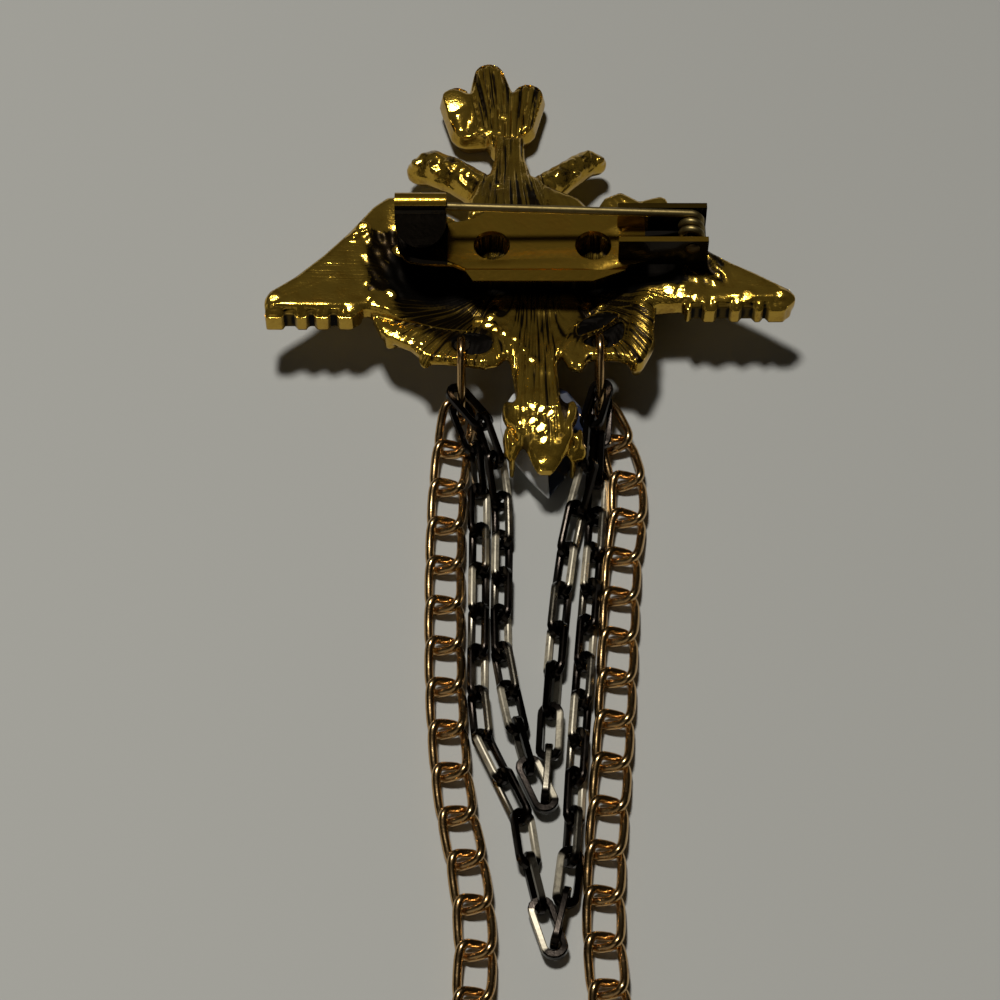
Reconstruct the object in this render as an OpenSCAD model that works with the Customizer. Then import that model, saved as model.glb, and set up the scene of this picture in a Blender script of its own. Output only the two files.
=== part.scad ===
/* [Casting] */
// Width across the two wing tips
wing_span = 52; // [50:0.5:54]
// Height of the hollow back over the table, measured at the body
body_back = 7.7; // [7.5:0.1:7.9]
// Height of the back of the crown over the table
crown_back = 3.5; // [3:0.1:4]
// Width of the opening that the left connector hangs in
left_hole_w = 4.2; // [3.8:0.1:4.6]
// Width of the opening that the right connector hangs in
right_hole_w = 4.8; // [4.4:0.1:5]

/* [Crystal] */
// Width of the drop-shaped stone
crystal_w = 8.3; // [8:0.1:8.4]
// Length of the stone from its round end to its point
crystal_l = 13.4; // [13:0.1:13.6]
// Depth from the table to the culet
crystal_depth = 4.2; // [3.6:0.1:4.2]

/* [Bar pin] */
// Thickness of the stamped plate
plate_t = 0.6; // [0.5:0.05:0.6]
// Height of the plate's upper face over the table
plate_top = 9; // [9:0.1:9.2]
// Diameter of the two holes in the plate
plate_hole_d = 3.6; // [3:0.1:4]
// Distance between the two holes
plate_hole_gap = 10; // [9:0.1:11]
// Diameter of the pin wire
stem_d = 0.8; // [0.7:0.05:0.8]
// Place of the hinge along the bar
hinge_x = 15.85; // [15.5:0.05:16]
// Height of the hinge over the table
hinge_z = 10.9; // [10.8:0.05:11]
// Diameter of the coil that turns on the rivet
coil_d = 2.6; // [2.2:0.1:2.6]
// Width of the catch along the bar
catch_w = 5; // [4:0.1:5.2]

/* [Chains] */
// Width of a gilt curb link
curb_w = 3.7; // [3.6:0.05:3.8]
// Wire of a gilt curb link
curb_wire = 0.7; // [0.6:0.02:0.7]
// Width of a black cable link
cable_w = 2.35; // [2.3:0.05:2.4]
// Wire of a black cable link
cable_wire = 0.55; // [0.5:0.01:0.55]
// Wire of the two connector links
ring_wire = 0.8; // [0.7:0.02:0.8]
// Width of a connector link
ring_w = 4.6; // [4.6:0.1:4.8]

/* [Hidden] */

// the tables are drawn from the middle of the casting; this brings the middle of the whole length to zero
mid_y = 2.3;

gilt = [0.55, 0.43, 0.12];
brass = [0.5, 0.4, 0.16];
copper = [0.62, 0.4, 0.28];
black = [0.09, 0.085, 0.08];
stone = [0.62, 0.66, 0.72];

// wing sections from tip to root, columns: place along the span, top edge, lower edge, back, front
span_scale = wing_span / 52;
left_wing = [
    [-26.0, 20.7, 19.8, 7.7, 6.1],
    [-25.5, 21.5, 19.4, 8.0, 5.7],
    [-23.0, 23.4, 19.3, 8.0, 5.4],
    [-20.3, 26.2, 19.4, 7.9, 5.0],
    [-17.9, 29.1, 19.5, 7.8, 4.6],
    [-15.6, 32.4, 19.6, 7.7, 4.2],
    [-14.2, 33.7, 19.2, 7.6, 4.0],
    [-12.4, 33.8, 18.6, 7.6, 3.4],
    [-9.4, 32.2, 18.2, 7.6, 2.8],
    [-5.6, 29.4, 18.2, 7.6, 2.0]
];
right_wing = [
    [6.2, 31.0, 21.6, 7.6, 2.0],
    [7.6, 33.6, 21.2, 7.6, 2.6],
    [9.2, 34.4, 20.6, 7.6, 2.8],
    [11.4, 33.0, 20.3, 7.6, 3.2],
    [14.4, 30.0, 20.4, 7.6, 3.8],
    [17.6, 26.9, 20.5, 7.7, 4.4],
    [20.0, 25.2, 20.5, 7.8, 4.8],
    [22.2, 23.9, 20.4, 7.9, 5.2],
    [25.4, 21.8, 20.3, 8.0, 5.6],
    [26.0, 21.2, 20.4, 7.7, 6.1]
];
// lower plumage on each side of the tail, same columns
left_skirt = [
    [-15.4, 22.0, 18.9, 7.0, 4.8],
    [-14.6, 22.0, 17.2, 7.0, 4.6],
    [-11.6, 22.0, 15.5, 7.0, 4.6],
    [-10.4, 22.0, 14.2, 7.0, 4.8],
    [-9.4, 22.0, 13.8, 7.0, 5.0],
    [-7.3, 22.0, 13.6, 7.0, 5.2],
    [-4.4, 22.0, 13.1, 7.0, 5.2],
    [-3.2, 22.0, 13.4, 7.0, 5.2],
    [-1.8, 22.0, 15.0, 7.0, 5.0]
];
right_skirt = [
    [2.6, 21.6, 15.6, 7.0, 5.0],
    [3.8, 21.6, 13.0, 7.0, 5.2],
    [4.9, 21.6, 12.7, 7.0, 5.2],
    [5.7, 21.6, 14.1, 7.0, 5.2],
    [8.4, 21.6, 14.1, 7.0, 5.2],
    [9.4, 21.6, 13.9, 7.0, 4.9],
    [11.4, 21.6, 15.0, 7.1, 4.6],
    [12.2, 21.6, 18.4, 7.1, 4.6]
];
// body sections from neck to tail, columns: place along the body, left side, right side, back, front;
// torso_back is the back height that the table is drawn for
torso_back = 7.7;
torso = [
    [44.6, -3.3, -0.5, 4.2, 1.4],
    [41.2, -3.5, -0.4, 4.8, 1.2],
    [38.4, -4.0, 0.2, 5.5, 1.0],
    [36.4, -5.4, 1.8, 6.2, 0.8],
    [34.0, -6.0, 5.0, 7.0, 0.6],
    [31.0, -6.2, 7.0, 7.5, 0.3],
    [28.0, -7.6, 9.0, 7.7, 0.0],
    [22.0, -7.0, 8.4, 7.7, 0.0],
    [19.0, -3.3, 4.2, 7.4, 0.0],
    [16.0, -2.5, 3.3, 7.2, 1.6],
    [13.6, -1.9, 2.5, 7.0, 4.5],
    [9.6, -1.4, 2.9, 6.9, 4.6],
    [7.6, -2.2, 3.9, 6.6, 4.6],
    [5.6, -1.6, 4.2, 6.3, 4.5],
    [4.2, -0.5, 3.6, 6.1, 4.4],
    [1.9, 0.5, 2.2, 5.6, 4.4]
];
// necks with a head at the end, columns: x, y, z, radius
left_neck = [[-4, 36.4, 4, 2], [-7.2, 39.1, 3.7, 1.9], [-9.9, 40.9, 3.2, 1.95], [-11.2, 40.8, 2.7, 1.45]];
right_neck = [[1.2, 36.8, 4, 1.9], [3.9, 39.4, 3.7, 1.6], [6, 41.5, 3.2, 1.45], [7, 41.8, 2.7, 1.15]];
// crown lobes, columns: x, y, radius at the upper end, then x, y, radius at the lower end
crown_lobes = [
    [-4.1, 53.7, 1.85, -3.7, 49.6, 2.9],
    [-7.5, 50.4, 1.85, -6.2, 46.8, 2.1],
    [-6.2, 46.8, 2.1, -3.3, 47.5, 2.6],
    [0, 50.8, 1.9, -0.9, 47.1, 1.85],
    [-0.9, 47.1, 1.85, -3.3, 47.5, 2.6],
    [-3.7, 49.6, 2.9, -2.2, 44.3, 1.85],
    [-6.3, 49.2, 2.15, -1, 49.6, 2.25]
];
// leaf beside the right connector, same columns
leaf_lobes = [
    [11.0, 19.8, 1.2, 10.7, 16.3, 1.5],
    [10.7, 16.3, 1.5, 10.3, 13.9, 0.8]
];
leaf_back = 7.2;
leaf_front = 4.6;
// small knob that ends the right shoulder, same columns
knob_lobes = [[11.0, 32.2, 1.2, 13.2, 33.2, 0.8]];
knob_back = 7.4;
knob_front = 5.6;

// feather ends under each wing: first place, last place, number, radius, lower edge, back, front
left_tips = [-24.9, -17.3, 5, 0.85, 19.3, 7.7, 5.2];
right_tips = [16.6, 24.9, 5, 0.85, 20.2, 7.7, 5.2];
inner_tips = [-13.6, -11.2, 3, 0.7, 16.9, 6.8, 4.7];

// claws that hold the stone, columns: x, y at the tail, then x, y at the girdle
claws = [[-1.2, 4.9, -1.8, 3.9], [3.3, 4.9, 4.05, 3.8]];
claw_r = 0.4;
claw_low = 1.5;
claw_root_z = 5.2;
claw_bend_z = 4.6;

left_hole_x = -5.7;
left_hole_y = 16.25;
left_hole_l = 3.3;
right_hole_x = 6.9;
right_hole_y = 18.1;
right_hole_l = 5.4;
// bare twig that crosses the right opening
twig = [[4.8, 16.7, 6.3], [8.9, 19.3, 6.3]];
twig_r = 0.35;

stone_x = 1.3;
stone_y = 8.0;
stone_turn = 3.4;
table_share = 0.62;
girdle_low = 1.8;
girdle_high = 2.2;
// half outline of the stone as shares of its half width and half length, from point to round end
stone_outline = [[0, -1.05], [0.42, -0.72], [0.92, -0.14], [1, 0.36], [0.66, 0.78]];
stone_end = [0, 0.95];
// pavilion rings: share of the outline and share of the depth
pavilion_share = 0.55;
pavilion_depth = 0.82;
culet_share = 0.08;

bar_y = 26.2;
plate_low = plate_top - plate_t;
// raised pad of the casting that carries the plate
pad_x = -6.4;
pad_y = 24.6;
pad_z = 6;
pad_l = 14.6;
pad_w = 5;
pad_gap = 0.1;
// outline of the plate: lower edge from the catch to the hinge, then upper edge back to the catch
plate_low_edge = [[-12.8, 25.4], [-12.1, 24.5], [-10.6, 24.1], [-7.6, 24.0], [-6.2, 23.3], [7.6, 23.3],
    [9.6, 23.8], [11.8, 24.3]];
plate_high_edge = [[9.4, 29.1], [8.4, 30.5], [-4.2, 30.6], [-5.6, 29.5]];
// edge bent down along the lower side: outline from its root, and where its root lies
flange_edge = [[-5.6, 0], [6.2, 0], [9.4, 1.1], [-6.4, 1.1]];
flange_y = 23.45;
floor_hole_x = 11.4;
floor_hole_end = 0.8;
hole_mid = 1.25;
ear_left = 8.65;
ear_right = 17.4;
ear_top = 12;
ear_low_y = 24.3;
ear_high_y = 28.5;
ear_t = 0.6;
rivet_d = 0.9;
rivet_bore_d = 1.0;
rivet_head_d = 1.5;
rivet_head_t = 0.3;
rivet_gap = 0.05;
catch_x = -13.2;
catch_t = 0.5;
catch_y = 28.45;
catch_bend = 0.7;
catch_z = 13.35;
tongue_tilt = 40;
tongue_reach = 0.9;
flange_tilt = 24;
coil_low_y = 25.0;
coil_high_y = 28.4;
stem_y = 27.88;
stem_rise = 2.7;
stem_len = 26.6;
stem_point = 2.2;
// height of the wire's middle where it leaves the top of the coil
stem_z = hinge_z + coil_d / 2 - stem_d / 2 + 0.05;
stem_tip_d = 0.1;

// connector links stand upright across the rim of each opening; centres of their two round ends
ring_sides = 6;
ring_steps = 7;
left_ring_x = -6.7;
left_ring_top = [14.5, 6.1];
left_ring_low = [11.9, 2.38];
right_ring_x = 6.75;
right_ring_top = [15.0, 6.1];
right_ring_low = [12.4, 2.38];

wire_sides = 5;
curb_points = 12;
curb_lift = 0.58;
curb_half = 2.75;
curb_z = curb_lift + curb_wire / 2;
cable_half = 2.64;
cable_z = (cable_w - cable_wire) / 2 * sin(45) + cable_wire / 2 + 0.02;
steep_z = 1.1;
fold_z = cable_w / 2 + 0.03;

// places that each chain passes, from the left connector to the right one; z is the wire's middle
gold_route = [
    [-6.95, 11.5, 1.85], [-7.7, 6.5, 0.95], [-8, 1.5, curb_z], [-8.15, -5.3, curb_z],
    [-8.1, -13, curb_z], [-7.9, -20.4, curb_z], [-7.1, -30, curb_z], [-5.6, -38, curb_z],
    [-5.1, -43.5, curb_z], [-5, -47.5, curb_z], [-5.4, -51.2, curb_z], [-5, -54.7, curb_z],
    [-2.8, -57.6, curb_z], [0.7, -58.7, curb_z], [4.2, -57.6, curb_z], [6.4, -54.7, curb_z],
    [6.8, -51.2, curb_z], [6.2, -47.5, curb_z], [6.1, -43, curb_z], [6.3, -37, curb_z],
    [6.8, -31, curb_z], [7.4, -24, curb_z], [8, -15, curb_z], [8.6, -5.3, curb_z], [9.4, 0.5, curb_z],
    [9.25, 4.6, 0.93], [8.38, 8, 1.1], [6.78, 12, 1.8]
];
gold_links = 34;
gold_left_links = 17;
// each black chain lies folded: one strand runs from the left connector to the fold, one back to the right;
// turns are the extra turns of the links at the left connector, on both sides of the fold and at the right
long_down = [
    [-6.87, 10.8, 3], [-5.2, 6.3, 1.9], [-4.95, 2.2, 1.0], [-4.95, -9.6, cable_z], [-5, -19.3, cable_z],
    [-4.6, -24, cable_z], [-3.4, -27, cable_z], [-1.8, -30, cable_z], [-0.7, -33.5, steep_z],
    [-0.2, -38.4, fold_z], [0.6, -41.1, fold_z], [1.9, -45.2, fold_z]
];
long_up = [
    [1.9, -44.1, fold_z], [2.8, -40.3, fold_z], [3.3, -36.5, steep_z], [3.65, -32, steep_z],
    [3.9, -28, cable_z], [4.25, -23.5, cable_z], [4.8, -17, cable_z], [5.5, -9, cable_z],
    [6.1, -2.5, cable_z], [6.4, 2.6, 1.25], [6.65, 7, 2.55], [6.85, 11.3, 3.15]
];
long_links = [13, 14];
long_turns = [30, 45, -45, -50];
short_down = [
    [-7.15, 11.6, 4.5], [-4.35, 7.9, 4.05], [-3.2, 3.9, 2.9], [-2.75, -0.3, 1.2], [-2.8, -8, cable_z],
    [-2.85, -14.5, cable_z], [-2.2, -19, cable_z], [-1.4, -23.2, fold_z], [-0.5, -27, fold_z],
    [1.2, -31, fold_z]
];
short_up = [
    [1.1, -30.3, fold_z], [1.45, -26.1, fold_z], [1.7, -21.7, steep_z], [2.1, -16.5, steep_z],
    [2.6, -11, cable_z], [3.2, -6, 1.0], [4, -1.2, 1.5], [5.4, 3.2, 3.05], [5.75, 7.6, 4.45],
    [6.95, 12.25, 4.5]
];
short_links = [11, 10];
short_turns = [30, 45, 45, 30];

function unit(v) = v / norm(v);

// a point of the smooth curve between b and c, with a before and d after them
function curve_point(a, b, c, d, t) =
    (2 * b + (c - a) * t + (2 * a - 5 * b + 4 * c - d) * t * t + (3 * b - a - 3 * c + d) * t * t * t) / 2;
function smooth_path(path, steps = 8) = concat(
    [for (i = [0:len(path) - 2]) for (k = [0:steps - 1])
        curve_point(path[max(i - 1, 0)], path[i], path[i + 1], path[min(i + 2, len(path) - 1)], k / steps)],
    [path[len(path) - 1]]);
function run_of(path) = [for (i = 0, s = 0; i < len(path);
    s = s + (i + 1 < len(path) ? norm(path[i + 1] - path[i]) : 0), i = i + 1) s];
function at_run(path, run, s) =
    let (i = min(max(len([for (r = run) if (r <= s) 1]) - 1, 0), len(path) - 2),
        share = (s - run[i]) / (run[i + 1] - run[i]))
    path[i] + (path[i + 1] - path[i]) * share;
// the points where one link hands over to the next, evenly along the route
function hand_overs(route, count) =
    let (path = smooth_path(route), run = run_of(path), whole = run[len(run) - 1])
    [for (k = [0:count]) at_run(path, run, whole * k / count)];

// middle line of a twisted curb link and of an oval cable link, as [across, along, up]
function curb_line() = [for (i = [0:curb_points - 1]) let (t = 360 * i / curb_points)
    [(curb_w - curb_wire) / 2 * sin(t), curb_half * cos(t), curb_lift * sin(2 * t)]];
function cable_line() =
    let (b = (cable_w - cable_wire) / 2)
    [for (end = [1, -1]) for (a = [-90:45:90]) [end * b * sin(a), end * (cable_half - b + b * cos(a)), 0]];

// the middle line laid from one hand-over point to the next, rolled about its own length
function laid(line, from, to, roll) =
    let (along = unit(to - from), flat = unit(cross([0, 0, 1], along)), up = cross(along, flat),
        across = flat * cos(roll) + up * sin(roll), over = up * cos(roll) - flat * sin(roll),
        mid = (from + to) / 2)
    [for (p = line) mid + across * p[0] + along * p[1] + over * p[2]];

// rings of points around a closed middle line, one ring for each of its points
function wire_rings(line, r, sides) =
    let (n = len(line), centre = [for (p = line) 1] * line / n)
    [for (i = [0:n - 1])
        let (ahead = unit(line[(i + 1) % n] - line[(i + n - 1) % n]), out = unit(line[i] - centre),
            up = unit(cross(ahead, out)), aside = cross(up, ahead))
        [for (k = [0:sides - 1]) line[i] + r * (cos(360 * k / sides) * aside + sin(360 * k / sides) * up)]];
function tube_faces(n, sides, start) = [for (i = [0:n - 1]) for (k = [0:sides - 1])
    let (m = (k + 1) % sides, j = (i + 1) % n, a = start + i * sides + k, b = start + i * sides + m,
        c = start + j * sides + m, d = start + j * sides + k)
    each [[a, c, b], [a, d, c]]];

// loose closed wires, each in its own place
module wires(lines, r, sides) {
    n = len(lines[0]);
    points = [for (line = lines) each [for (ring = wire_rings(line, r, sides)) each ring]];
    faces = [for (i = [0:len(lines) - 1]) each tube_faces(n, sides, i * n * sides)];
    polyhedron(points, faces, convexity = 10);
}

// a closed skin through rings of points that turn left as seen from the last ring
module skin(rings) {
    n = len(rings[0]);
    m = len(rings);
    sides = [for (j = [0:m - 2]) for (i = [0:n - 1])
        let (k = (i + 1) % n, a = j * n + i, b = j * n + k, c = (j + 1) * n + k, d = (j + 1) * n + i)
        each [[a, c, b], [a, d, c]]];
    first = [for (i = [0:n - 1]) i];
    last = [for (i = [n - 1:-1:0]) (m - 1) * n + i];
    polyhedron([for (ring = rings) each ring], concat([first], sides, [last]), convexity = 10);
}

// a section across the span: round-edged back, dished a little, and a front that draws in
function wing_ring(row) =
    let (x = row[0] * span_scale, top = row[1], low = row[2], back = row[3], front = row[4],
        edge = 0.3, wall = (back - front) * 0.45, draw = min((top - low) * 0.22, 2.5),
        dish = min((top - low) * 0.07, 0.6))
    [[x, low, front + wall], [x, low + draw, front], [x, top - draw, front], [x, top, front + wall],
        [x, top, back - edge], [x, top - edge, back], [x, (top + low) / 2, back - dish],
        [x, low + edge, back],
        [x, low, back - edge]];

// a section across the body: nearly flat back and a front that narrows to the breast
function torso_ring(row) =
    let (y = row[0], left = row[1], right = row[2], back = row[3] + body_back - torso_back, front = row[4],
        edge = 0.35, wall = (back - front) * 0.5, draw = (right - left) * 0.22)
    [[left, y, front + wall], [left + draw, y, front], [right - draw, y, front], [right, y, front + wall],
        [right, y, back - edge], [right - edge, y, back], [left + edge, y, back], [left, y, back - edge]];

module lobe(x, y, r, back, front) {
    translate([x, y, front]) cylinder(r1 = r * 0.6, r2 = r, h = (back - front) * 0.5, $fn = 14);
    translate([x, y, front + (back - front) * 0.5 - 0.01])
        cylinder(r1 = r, r2 = r * 0.8, h = (back - front) * 0.5 + 0.01, $fn = 14);
}

module lobes(rows, back, front) {
    for (row = rows) {
        hull() {
            lobe(row[0], row[1], row[2], back, front);
            lobe(row[3], row[4], row[5], back, front);
        }
    }
}

module neck(rows) {
    for (i = [0:len(rows) - 2]) {
        hull() {
            for (row = [rows[i], rows[i + 1]])
                translate([row[0], row[1], row[2]]) sphere(r = row[3], $fn = 12);
        }
    }
}

module feather_ends(row) {
    step = (row[1] - row[0]) / (row[2] - 1);
    for (i = [0:row[2] - 1]) {
        translate([(row[0] + i * step) * span_scale, row[4] + row[3] * 0.45, row[6]])
            cylinder(r = row[3], h = row[5] - row[6], $fn = 12);
    }
}

module claw(row) {
    hull() {
        translate([row[0], row[1], claw_root_z]) sphere(r = claw_r + 0.1, $fn = 8);
        translate([row[2], row[3], claw_bend_z]) sphere(r = claw_r, $fn = 8);
    }
    hull() {
        translate([row[2], row[3], claw_bend_z]) sphere(r = claw_r, $fn = 8);
        translate([row[2], row[3], claw_low]) sphere(r = claw_r * 0.8, $fn = 8);
    }
}

module opening(x, y, w, l) {
    translate([x, y, -1]) scale([w, l, 1]) cylinder(d = 1, h = 12, $fn = 20);
}

module eagle_body() {
    color(gilt) difference() {
        union() {
            skin([for (row = torso) torso_ring(row)]);
            skin([for (row = left_wing) wing_ring(row)]);
            skin([for (row = right_wing) wing_ring(row)]);
            skin([for (row = left_skirt) wing_ring(row)]);
            skin([for (row = right_skirt) wing_ring(row)]);
            neck(left_neck);
            neck(right_neck);
            lobes(crown_lobes, crown_back, 0);
            lobes(leaf_lobes, leaf_back, leaf_front);
            feather_ends(left_tips);
            feather_ends(right_tips);
            feather_ends(inner_tips);
            for (row = claws) claw(row);
            translate([pad_x, pad_y, pad_z]) cube([pad_l, pad_w, plate_low - pad_gap - pad_z]);
            lobes(knob_lobes, knob_back, knob_front);
        }
        opening(left_hole_x, left_hole_y, left_hole_w, left_hole_l);
        opening(right_hole_x, right_hole_y, right_hole_w, right_hole_l);
    }
    color(gilt) hull() for (end = twig) translate(end) sphere(r = twig_r, $fn = 10);
}

function stone_ring(share, z) =
    let (half = [for (p = stone_outline) [p[0] * crystal_w / 2, p[1] * crystal_l / 2]],
        end = [0, stone_end[1] * crystal_l / 2],
        round = concat(half, [end], [for (i = [len(half) - 1:-1:1]) [-half[i][0], half[i][1]]]))
    [for (p = round) [p[0] * share, p[1] * share, z]];

module tail_crystal() {
    color(stone) translate([stone_x, stone_y, 0]) rotate(stone_turn)
        skin([stone_ring(table_share, 0), stone_ring(1, girdle_low), stone_ring(1, girdle_high),
            stone_ring(pavilion_share, crystal_depth * pavilion_depth),
            stone_ring(culet_share, crystal_depth)]);
}

module plate_outline() {
    polygon(concat(plate_low_edge, [[ear_right, ear_low_y], [ear_right, ear_high_y + ear_t]], plate_high_edge,
        [[catch_x + catch_w, catch_y + catch_t], [catch_x + 0.1, catch_y + catch_t], [catch_x + 0.1, 26.4]]));
}

module ear(y) {
    translate([ear_left, y, plate_low]) cube([ear_right - ear_left, ear_t, ear_top - plate_low]);
}

module catch_hook() {
    translate([catch_x, catch_y, plate_low]) cube([catch_w, catch_t, catch_z - plate_low]);
    translate([catch_x, catch_y - catch_bend, catch_z]) rotate([90, 0, 90]) linear_extrude(catch_w)
        difference() {
            circle(r = catch_bend + catch_t, $fn = 48);
            circle(r = catch_bend, $fn = 48);
            translate([-catch_w, -2 * catch_w]) square(2 * catch_w);
        }
    translate([catch_x, catch_y - 2 * catch_bend - catch_t / 2, catch_z]) rotate([180 + tongue_tilt, 0, 0])
        translate([0, 0, -catch_t / 2]) linear_extrude(catch_t) intersection() {
            translate([0, -0.25]) square([catch_w, tongue_reach + catch_w / 2 + 0.25]);
            union() {
                translate([0, -0.25]) square([catch_w, tongue_reach + 0.25]);
                translate([catch_w / 2, tongue_reach]) circle(d = catch_w, $fn = 48);
            }
        }
}

module pin_bar() {
    color(brass) difference() {
        union() {
            translate([0, 0, plate_low]) linear_extrude(plate_t) plate_outline();
            translate([0, flange_y, plate_low]) rotate([flange_tilt, 0, 0])
                translate([0, -flange_edge[2][1], 0]) linear_extrude(plate_t) polygon(flange_edge);
            ear(ear_low_y);
            ear(ear_high_y);
            translate([catch_x, catch_y - catch_t, plate_low]) cube([catch_w, 2 * catch_t, plate_t]);
            catch_hook();
        }
        for (side = [-1, 1]) {
            translate([hole_mid + side * plate_hole_gap / 2, bar_y, plate_low - 2])
                cylinder(d = plate_hole_d, h = 4, $fn = 48);
        }
        translate([floor_hole_x, ear_low_y + ear_t, plate_low - 1])
            cube([ear_right - floor_hole_x - floor_hole_end, ear_high_y - ear_low_y - ear_t, plate_t + 2]);
        translate([hinge_x, ear_low_y - 1, hinge_z]) rotate([-90, 0, 0])
            cylinder(d = rivet_bore_d, h = ear_high_y - ear_low_y + 3, $fn = 48);
    }
}

module pin_rivet() {
    shank = ear_high_y - ear_low_y + ear_t + 2 * rivet_gap;
    color(brass) translate([hinge_x, ear_low_y - rivet_gap - rivet_head_t, hinge_z]) rotate([-90, 0, 0]) {
        cylinder(d = rivet_head_d, h = rivet_head_t, $fn = 48);
        cylinder(d = rivet_d, h = shank + 2 * rivet_head_t, $fn = 48);
        translate([0, 0, shank + rivet_head_t]) cylinder(d = rivet_head_d, h = rivet_head_t, $fn = 48);
    }
}

module pin_stem() {
    color(brass) difference() {
        union() {
            translate([hinge_x, coil_low_y, hinge_z]) rotate([-90, 0, 0])
                cylinder(d = coil_d, h = coil_high_y - coil_low_y, $fn = 72);
            translate([hinge_x, stem_y, stem_z]) rotate([0, -90 + stem_rise, 0]) {
                cylinder(d = stem_d, h = stem_len, $fn = 48);
                translate([0, 0, stem_len]) cylinder(d1 = stem_d, d2 = stem_tip_d, h = stem_point, $fn = 48);
            }
        }
        translate([hinge_x, coil_low_y - 1, hinge_z]) rotate([-90, 0, 0])
            cylinder(d = rivet_bore_d, h = coil_high_y - coil_low_y + 2, $fn = 48);
    }
}

// an upright oval in the plane across the rim, from the centre of its upper end to that of its lower end
function ring_line(x, top, low) =
    let (down = unit(low - top), out = [-down[1], down[0]], r = (ring_w - ring_wire) / 2)
    [for (end = [[top, -1], [low, 1]]) for (k = [0:ring_steps - 1])
        let (a = -90 + 180 * k / (ring_steps - 1), p = end[0] + end[1] * r * (down * cos(a) + out * sin(a)))
        [x, p[0], p[1]]];

module left_ring() {
    color(copper) wires([ring_line(left_ring_x, left_ring_top, left_ring_low)], ring_wire / 2, ring_sides);
}

module right_ring() {
    color(copper) wires([ring_line(right_ring_x, right_ring_top, right_ring_low)], ring_wire / 2, ring_sides);
}

module gold_chain(first, last) {
    stops = hand_overs(gold_route, gold_links);
    wires([for (k = [first:last]) laid(curb_line(), stops[k], stops[k + 1], 0)], curb_wire / 2, wire_sides);
}

module gold_chain_left() {
    color(copper) gold_chain(0, gold_left_links - 1);
}

module gold_chain_right() {
    color(copper) gold_chain(gold_left_links, gold_links - 1);
}

// lines of a strand whose links stand a quarter turn against their neighbours;
// the extra turns fade over three links
function cable_strand(route, count, first_roll, first_turn, last_turn) =
    let (stops = hand_overs(route, count))
    [for (k = [0:count - 1])
        let (turn = first_turn * max(0, 1 - k / 3) + last_turn * max(0, 1 - (count - 1 - k) / 3))
        laid(cable_line(), stops[k], stops[k + 1], first_roll + 90 * k + turn)];

module black_chain(down, up, links, turns) {
    wires(concat(cable_strand(down, links[0], -45, turns[0], turns[1]),
        cable_strand(up, links[1], sign(turns[2]) * 45, turns[2], turns[3])), cable_wire / 2, wire_sides);
}

module black_chain_short() {
    color(black) black_chain(short_down, short_up, short_links, short_turns);
}

module black_chain_long() {
    color(black) black_chain(long_down, long_up, long_links, long_turns);
}

module centred() {
    translate([0, mid_y, 0]) children();
}

centred() eagle_body();
centred() tail_crystal();
centred() pin_bar();
centred() pin_rivet();
centred() pin_stem();
centred() left_ring();
centred() right_ring();
centred() gold_chain_left();
centred() gold_chain_right();
centred() black_chain_short();
centred() black_chain_long();
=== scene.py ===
import bpy
import bmesh
import math
import numpy as np
from mathutils import Matrix, Vector
from mathutils.kdtree import KDTree


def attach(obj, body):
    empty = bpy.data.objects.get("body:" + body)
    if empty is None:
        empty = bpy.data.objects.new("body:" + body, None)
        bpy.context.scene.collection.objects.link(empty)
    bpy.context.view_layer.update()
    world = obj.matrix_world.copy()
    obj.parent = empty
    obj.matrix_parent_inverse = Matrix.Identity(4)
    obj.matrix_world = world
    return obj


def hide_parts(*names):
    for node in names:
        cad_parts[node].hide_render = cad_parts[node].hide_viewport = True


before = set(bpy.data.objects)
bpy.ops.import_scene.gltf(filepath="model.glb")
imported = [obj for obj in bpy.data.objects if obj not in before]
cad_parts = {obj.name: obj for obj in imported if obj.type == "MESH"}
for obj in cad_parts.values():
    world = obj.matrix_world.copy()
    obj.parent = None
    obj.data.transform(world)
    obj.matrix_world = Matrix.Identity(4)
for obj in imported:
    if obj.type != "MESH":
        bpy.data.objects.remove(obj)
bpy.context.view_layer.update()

# the tables below are in millimetres, from the middle of the casting
toFrame = Matrix.Scale(0.001, 4) @ Matrix.Translation((0, 2.3, 0))


def addObject(name, data):
    piece = bpy.data.objects.new(name, data)
    bpy.context.scene.collection.objects.link(piece)
    return piece


def meshFrom(bm):
    mesh = bpy.data.meshes.new("piece")
    bm.to_mesh(mesh)
    bm.free()
    return mesh


def settle(name, mesh, material, node, sharpAngle=None, body="brooch"):
    # makes a piece of a mesh in millimetres, at its place in the frame
    piece = addObject(name, mesh)
    mesh.name = name
    mesh.transform(toFrame)
    mesh.materials.append(material)
    mesh.shade_flat()
    if sharpAngle:
        mesh.shade_smooth()
        mesh.set_sharp_from_angle(angle=math.radians(sharpAngle))
    mesh.update()
    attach(piece, body)
    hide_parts(node)
    print(piece.name, len(mesh.polygons), "faces")


def cadCopy(node):
    # a merged copy of a CAD node, in millimetres
    bm = bmesh.new()
    bm.from_mesh(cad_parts[node].data)
    bmesh.ops.transform(bm, matrix=toFrame.inverted(), verts=bm.verts)
    bmesh.ops.remove_doubles(bm, verts=bm.verts, dist=0.002)
    return bm


def chamfer(bm, edges, width):
    bmesh.ops.bevel(bm, geom=edges, offset=width, segments=1, profile=0.5, affect="EDGES", material=-1)


def evaluated(helper):
    # the finished mesh of a helper object, which then goes
    graph = bpy.context.evaluated_depsgraph_get()
    mesh = bpy.data.meshes.new_from_object(helper.evaluated_get(graph))
    bpy.data.objects.remove(helper)
    return mesh


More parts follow.
